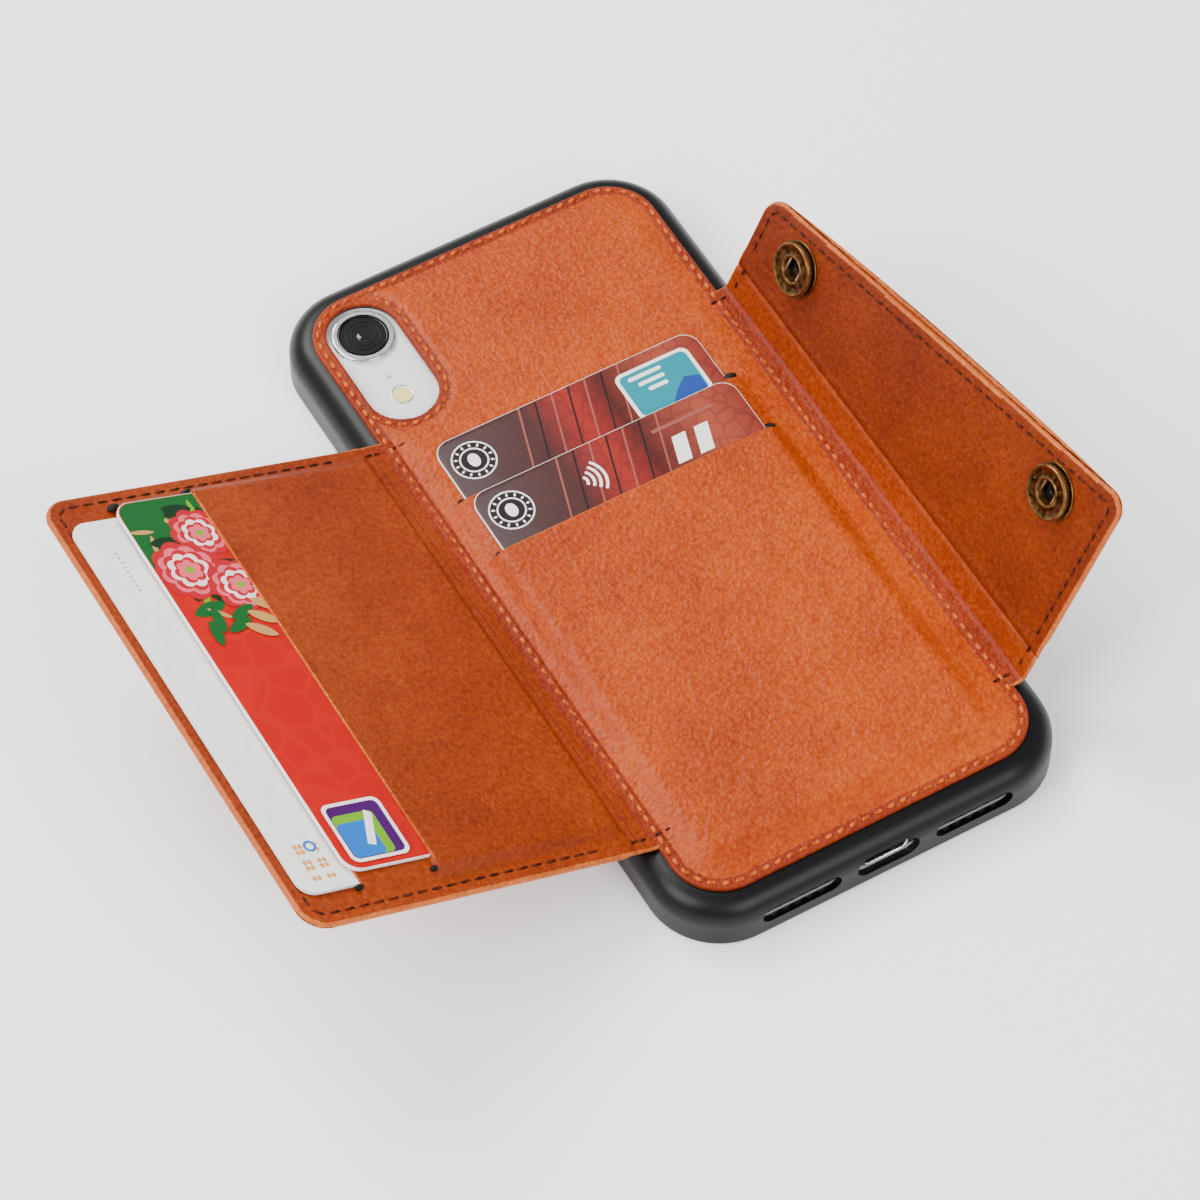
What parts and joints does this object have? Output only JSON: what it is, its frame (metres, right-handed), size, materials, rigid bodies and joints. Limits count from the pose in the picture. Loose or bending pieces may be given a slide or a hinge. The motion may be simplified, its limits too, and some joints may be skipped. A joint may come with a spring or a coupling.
{
  "type": "phone wallet case",
  "caption": "Leather-backed phone case with card pockets, a fold-over card flap and a snap-down clasp flap, shown open with phone and cards",
  "frame": {"origin": "centre of the bumper's rim plane, on which the closed or open case rests screen side down, 0.8 mm under the screen glass", "axes": "+Z out of the leather back, +Y towards the camera end of the phone, +X towards the clasp flap"},
  "size_m": [0.1567, 0.1538, 0.0502],
  "materials": {
    "tan_leather": "pull-up imitation leather, fine pebble grain, soft sheen",
    "inner_leather": "imitation leather, inner face, soft sheen",
    "strip_leather": "soft folded imitation leather",
    "black_bumper": "moulded flexible plastic, satin",
    "tan_thread": "waxed polyester thread",
    "dark_thread": "waxed polyester thread",
    "black_lining": "thin woven lining",
    "grey_board": "stiffening board",
    "antique_brass": "antique plated, worn edges",
    "spring_wire": "bright spring wire",
    "phone_metal": "anodised silver",
    "phone_white": "white-backed glass, gloss",
    "phone_black": "black glass, gloss",
    "lens_glass": "dark lens glass",
    "flash_plastic": "clear diffuser over two lamps",
    "card_dark": "printed card, dark to red fade",
    "card_red": "printed card, red",
    "card_white": "printed card, white"
  },
  "bodies": {
    "case": {"bumper": "black_bumper", "back_leather": "tan_leather", "back_pocket_lining": "black_lining", "margin_stitching": "tan_thread", "window_stitching": "tan_thread"},
    "card_flap_strip": {"card_flap_strip": "strip_leather"},
    "card_flap": {"card_flap_outer_leather": "tan_leather", "card_flap_board": "grey_board", "card_flap_lining": "black_lining", "card_flap_inner_leather": "inner_leather", "card_flap_stitching": "dark_thread", "snap_stud_top": "antique_brass", "snap_stud_bottom": "antique_brass"},
    "clasp_strip": {"clasp_strip": "strip_leather"},
    "clasp": {"clasp_outer_leather": "tan_leather", "clasp_board": "grey_board", "clasp_inner_leather": "inner_leather", "clasp_stitching": "dark_thread", "snap_socket_top": "antique_brass", "snap_socket_bottom": "antique_brass", "snap_spring_top": "spring_wire", "snap_spring_bottom": "spring_wire", "snap_cap_top": "antique_brass", "snap_cap_bottom": "antique_brass"},
    "phone": {"phone_frame": "phone_metal", "phone_back_glass": "phone_white", "phone_screen_glass": "phone_black", "camera_bezel": "phone_metal", "camera_lens": "lens_glass", "flash_lens": "flash_plastic", "charge_socket": "phone_metal"},
    "volume_up_key": {"volume_up_key": "black_bumper"},
    "volume_down_key": {"volume_down_key": "black_bumper"},
    "side_key": {"side_key": "black_bumper"},
    "volume_up_button": {"volume_up_button": "phone_metal"},
    "volume_down_button": {"volume_down_button": "phone_metal"},
    "side_button": {"side_button": "phone_metal"},
    "ring_switch": {"ring_switch": "phone_metal"},
    "back_card_upper": {"back_card_upper": "card_dark"},
    "back_card_lower": {"back_card_lower": "card_dark"},
    "flap_card_outer": {"flap_card_outer": "card_white"},
    "flap_card_inner": {"flap_card_inner": "card_red"}
  },
  "joints": [
    {"name": "card_flap_root", "type": "hinge", "parent": "case", "child": "card_flap_strip", "pos_m": [-0.0347, 0, 0.01045], "axis": [0, 1, 0], "range_deg": [-8, 72.25]},
    {"name": "card_flap_fold", "type": "hinge", "parent": "card_flap_strip", "child": "card_flap", "pos_m": [-0.04022, 0, 0.01222], "axis": [0, 1, 0], "range_deg": [-9.57, 85.56]},
    {"name": "clasp_root", "type": "hinge", "parent": "case", "child": "clasp_strip", "pos_m": [0.0347, 0, 0.01045], "axis": [0, -1, 0], "range_deg": [-6, 44.94]},
    {"name": "clasp_fold", "type": "hinge", "parent": "clasp_strip", "child": "clasp", "pos_m": [0.04059, 0, 0.01828], "axis": [0, -1, 0], "range_deg": [-9.19, 68.11]},
    {"name": "phone_pull_out", "type": "slide", "parent": "case", "child": "phone", "axis": [0, 0, 1], "range_m": [-0.012, 0]},
    {"name": "volume_up_key_press", "type": "slide", "parent": "case", "child": "volume_up_key", "axis": [-1, 0, 0], "range_m": [0, 0.0003], "stiffness_N_per_m": 900},
    {"name": "volume_down_key_press", "type": "slide", "parent": "case", "child": "volume_down_key", "axis": [-1, 0, 0], "range_m": [0, 0.0003], "stiffness_N_per_m": 900},
    {"name": "side_key_press", "type": "slide", "parent": "case", "child": "side_key", "axis": [1, 0, 0], "range_m": [0, 0.0003], "stiffness_N_per_m": 900},
    {"name": "volume_up_button_press", "type": "slide", "parent": "phone", "child": "volume_up_button", "axis": [-1, 0, 0], "range_m": [0, 0.0003], "stiffness_N_per_m": 500},
    {"name": "volume_down_button_press", "type": "slide", "parent": "phone", "child": "volume_down_button", "axis": [-1, 0, 0], "range_m": [0, 0.0003], "stiffness_N_per_m": 500},
    {"name": "side_button_press", "type": "slide", "parent": "phone", "child": "side_button", "axis": [1, 0, 0], "range_m": [0, 0.0003], "stiffness_N_per_m": 500},
    {"name": "ring_switch_slide", "type": "slide", "parent": "phone", "child": "ring_switch", "axis": [0, 0, 1], "range_m": [-0.0008, 0]},
    {"name": "back_card_upper_slide", "type": "slide", "parent": "case", "child": "back_card_upper", "axis": [0, -0.9999, -0.0142], "range_m": [-0.075, 0]},
    {"name": "back_card_lower_slide", "type": "slide", "parent": "case", "child": "back_card_lower", "axis": [0, -0.9998, -0.021], "range_m": [-0.073, 0]},
    {"name": "flap_card_outer_slide", "type": "slide", "parent": "card_flap", "child": "flap_card_outer", "axis": [0.9215, 0, -0.3883], "range_m": [-0.044, 0]},
    {"name": "flap_card_inner_slide", "type": "slide", "parent": "card_flap", "child": "flap_card_inner", "axis": [0.9159, 0, -0.4014], "range_m": [-0.04, 0]}
  ],
  "couplings": [
    {"joint": "card_flap_fold", "follows": "card_flap_root", "ratio": 1.1835},
    {"joint": "clasp_fold", "follows": "clasp_root", "ratio": 1.5142},
    {"joint": "volume_up_button_press", "follows": "volume_up_key_press", "ratio": 1},
    {"joint": "volume_down_button_press", "follows": "volume_down_key_press", "ratio": 1},
    {"joint": "side_button_press", "follows": "side_key_press", "ratio": 1}
  ]
}
